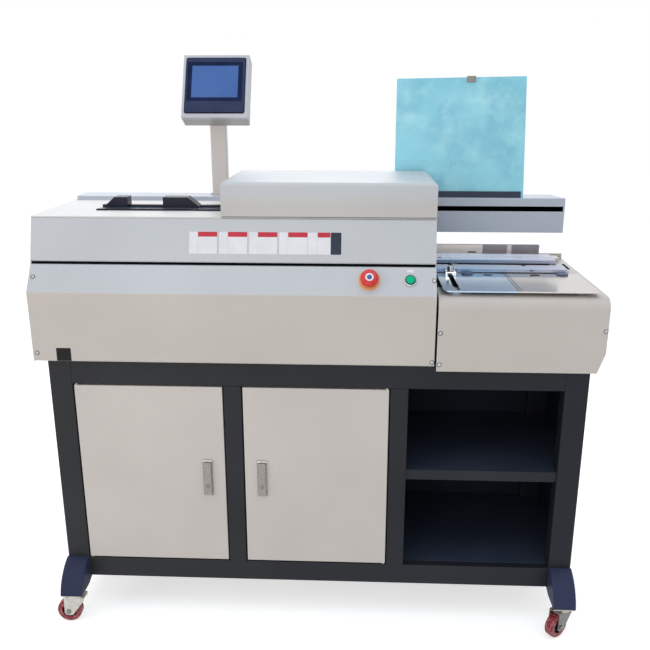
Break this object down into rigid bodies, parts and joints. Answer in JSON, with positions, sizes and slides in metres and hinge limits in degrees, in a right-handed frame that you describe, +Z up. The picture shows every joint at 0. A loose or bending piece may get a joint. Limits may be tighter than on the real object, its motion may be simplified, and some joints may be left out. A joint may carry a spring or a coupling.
{
  "type": "perfect binding machine",
  "caption": "Floor-standing glue binding machine on a caster cabinet, with a hinged hood, clamp carriage on a rear beam, nipping table, book board and tilted control panel.",
  "frame": {"origin": "on the floor under the middle of the machine", "axes": "+X along the machine to the operator's right, from the glue end to the nipping table; +Y from the operator to the rear; +Z up"},
  "size_m": [1.3, 0.5538, 1.3717],
  "materials": {
    "body_paint": "fine-textured satin powder coat, warm light grey",
    "frame_paint": "satin anthracite powder coat",
    "cabinet_lining": "satin dark blue-grey powder coat",
    "beam_paint": "satin light grey powder coat",
    "zinc": "zinc-plated, dull",
    "steel": "ground",
    "chrome": "polished",
    "table_steel": "ground and lightly polished",
    "cast": "machined",
    "aluminium": "satin",
    "wheel_red": "satin polyurethane",
    "black_plastic": "matt",
    "black_metal": "satin black",
    "red_plastic": "gloss",
    "yellow_plastic": "satin",
    "green_plastic": "gloss",
    "panel_plastic": "satin dark slate blue, with a blue display set in it",
    "board_film": "light cyan protective film on a steel sheet",
    "motor_paint": "satin"
  },
  "bodies": {
    "machine": {"frame_posts": "frame_paint", "frame_rails": "frame_paint", "cabinet_panels": "cabinet_lining", "shelves": "cabinet_lining", "door_pins": "steel", "foot_brackets": "frame_paint", "bed_plate": "steel", "lower_cover": "body_paint", "upper_cover": "body_paint", "left_end_cover": "body_paint", "rear_cover": "body_paint", "deck": "body_paint", "side_plates": "frame_paint", "hood_riser": "body_paint", "guide_beam": "beam_paint", "guide_shafts": "chrome", "drive_chain": "steel", "backboard": "board_film", "stop_track": "black_metal", "panel_post": "body_paint", "panel_box": "body_paint", "panel_screen": "panel_plastic", "button_bases": "yellow_plastic", "table_plate": "table_steel", "nip_jaw_rear": "table_steel", "right_cover": "body_paint", "glue_tank": "aluminium", "milling_motor": "motor_paint", "cover_screws": "chrome", "power_inlet": "black_plastic"},
    "left_door": {"left_door": "body_paint", "left_door_fittings": "zinc"},
    "right_door": {"right_door": "body_paint", "right_door_fittings": "zinc"},
    "left_latch": {"left_latch": "zinc"},
    "right_latch": {"right_latch": "zinc"},
    "hood": {"hood": "body_paint"},
    "left_stop": {"left_stop": "black_plastic"},
    "right_stop": {"right_stop": "black_plastic"},
    "carriage": {"carriage": "cast", "carriage_motor": "motor_paint"},
    "moving_jaw": {"moving_jaw": "aluminium"},
    "drive_sprocket": {"drive_sprocket": "steel"},
    "nip_jaw_front": {"nip_jaw_front": "table_steel"},
    "cover_platform": {"cover_platform": "table_steel"},
    "side_guide": {"side_guide": "aluminium"},
    "guide_knob": {"guide_knob": "chrome"},
    "glue_roller_1": {"glue_roller_1": "steel"},
    "glue_roller_2": {"glue_roller_2": "steel"},
    "milling_cutter": {"milling_cutter": "steel"},
    "estop_head": {"estop_head": "red_plastic"},
    "start_cap": {"start_cap": "green_plastic"},
    "caster_fork_front_left": {"caster_fork_front_left": "zinc"},
    "caster_wheel_front_left": {"caster_wheel_front_left": "wheel_red"},
    "caster_fork_front_right": {"caster_fork_front_right": "zinc"},
    "caster_wheel_front_right": {"caster_wheel_front_right": "wheel_red"},
    "caster_fork_rear_left": {"caster_fork_rear_left": "zinc"},
    "caster_wheel_rear_left": {"caster_wheel_rear_left": "wheel_red"},
    "caster_fork_rear_right": {"caster_fork_rear_right": "zinc"},
    "caster_wheel_rear_right": {"caster_wheel_rear_right": "wheel_red"}
  },
  "joints": [
    {"name": "left_door_hinge", "type": "hinge", "parent": "machine", "child": "left_door", "pos_m": [-0.566, -0.192, 0.386], "axis": [0, 0, 1], "range_deg": [-100, 0]},
    {"name": "right_door_hinge", "type": "hinge", "parent": "machine", "child": "right_door", "pos_m": [0.1665, -0.192, 0.386], "axis": [0, 0, 1], "range_deg": [0, 110]},
    {"name": "left_latch_turn", "type": "hinge", "parent": "left_door", "child": "left_latch", "pos_m": [-0.2615, -0.2, 0.416], "axis": [0, 1, 0], "range_deg": [0, 90]},
    {"name": "right_latch_turn", "type": "hinge", "parent": "right_door", "child": "right_latch", "pos_m": [-0.1295, -0.2, 0.416], "axis": [0, -1, 0], "range_deg": [0, 90]},
    {"name": "hood_hinge", "type": "hinge", "parent": "machine", "child": "hood", "pos_m": [0.028, 0.1373, 1.08275], "axis": [-1, 0, 0], "range_deg": [0, 80]},
    {"name": "left_stop_slide", "type": "slide", "parent": "machine", "child": "left_stop", "axis": [1, 0, 0], "range_m": [-0.005, 0.04]},
    {"name": "right_stop_slide", "type": "slide", "parent": "machine", "child": "right_stop", "axis": [1, 0, 0], "range_m": [-0.04, 0.07]},
    {"name": "carriage_travel", "type": "slide", "parent": "machine", "child": "carriage", "axis": [1, 0, 0], "range_m": [-0.42, 0.36]},
    {"name": "jaw_clamp", "type": "slide", "parent": "carriage", "child": "moving_jaw", "axis": [0, 1, 0], "range_m": [0, 0.058]},
    {"name": "sprocket_spin", "type": "hinge", "parent": "carriage", "child": "drive_sprocket", "pos_m": [0.16, 0.153, 0.957], "axis": [0, 1, 0], "range_deg": [-1480, 1270]},
    {"name": "nip_close", "type": "slide", "parent": "machine", "child": "nip_jaw_front", "axis": [0, 1, 0], "range_m": [0, 0.058]},
    {"name": "platform_lift", "type": "slide", "parent": "machine", "child": "cover_platform", "axis": [0, 0, 1], "range_m": [0, 0.0065]},
    {"name": "side_guide_slide", "type": "slide", "parent": "machine", "child": "side_guide", "axis": [0, 1, 0], "range_m": [-0.14, 0]},
    {"name": "guide_knob_turn", "type": "hinge", "parent": "side_guide", "child": "guide_knob", "pos_m": [0.318, -0.0433, 0.87], "axis": [0, 0, 1], "range_deg": [0, 180]},
    {"name": "glue_roller_1_spin", "type": "hinge", "parent": "machine", "child": "glue_roller_1", "pos_m": [-0.154, 0.058, 0.852], "axis": [0, 1, 0], "continuous": true},
    {"name": "glue_roller_2_spin", "type": "hinge", "parent": "machine", "child": "glue_roller_2", "pos_m": [-0.066, 0.058, 0.852], "axis": [0, 1, 0], "continuous": true},
    {"name": "milling_cutter_spin", "type": "hinge", "parent": "machine", "child": "milling_cutter", "pos_m": [0.098, 0.058, 0.87], "axis": [0, 0, 1], "continuous": true},
    {"name": "estop_press", "type": "slide", "parent": "machine", "child": "estop_head", "axis": [0, 0.8321, -0.5547], "range_m": [0, 0.005]},
    {"name": "start_press", "type": "slide", "parent": "machine", "child": "start_cap", "axis": [0, 0.8321, -0.5547], "range_m": [0, 0.003], "stiffness_N_per_m": 400},
    {"name": "caster_swivel_front_left", "type": "hinge", "parent": "machine", "child": "caster_fork_front_left", "pos_m": [-0.603, -0.2385, 0.07], "axis": [0, 0, 1], "continuous": true},
    {"name": "caster_roll_front_left", "type": "hinge", "parent": "caster_fork_front_left", "child": "caster_wheel_front_left", "pos_m": [-0.619, -0.2385, 0.0305], "axis": [0, 1, 0], "continuous": true},
    {"name": "caster_swivel_front_right", "type": "hinge", "parent": "machine", "child": "caster_fork_front_right", "pos_m": [0.603, -0.2385, 0.07], "axis": [0, 0, 1], "continuous": true},
    {"name": "caster_roll_front_right", "type": "hinge", "parent": "caster_fork_front_right", "child": "caster_wheel_front_right", "pos_m": [0.59039, -0.24835, 0.0305], "axis": [-0.6157, 0.788, 0], "continuous": true},
    {"name": "caster_swivel_rear_left", "type": "hinge", "parent": "machine", "child": "caster_fork_rear_left", "pos_m": [-0.603, 0.2385, 0.07], "axis": [0, 0, 1], "continuous": true},
    {"name": "caster_roll_rear_left", "type": "hinge", "parent": "caster_fork_rear_left", "child": "caster_wheel_rear_left", "pos_m": [-0.59271, 0.25076, 0.0305], "axis": [0.766, -0.6428, 0], "continuous": true},
    {"name": "caster_swivel_rear_right", "type": "hinge", "parent": "machine", "child": "caster_fork_rear_right", "pos_m": [0.603, 0.2385, 0.07], "axis": [0, 0, 1], "continuous": true},
    {"name": "caster_roll_rear_right", "type": "hinge", "parent": "caster_fork_rear_right", "child": "caster_wheel_rear_right", "pos_m": [0.619, 0.2385, 0.0305], "axis": [0, -1, 0], "continuous": true}
  ],
  "couplings": [
    {"joint": "sprocket_spin", "follows": "carriage_travel", "rad_per_m": 61.35},
    {"joint": "glue_roller_2_spin", "follows": "glue_roller_1_spin", "ratio": 1}
  ]
}
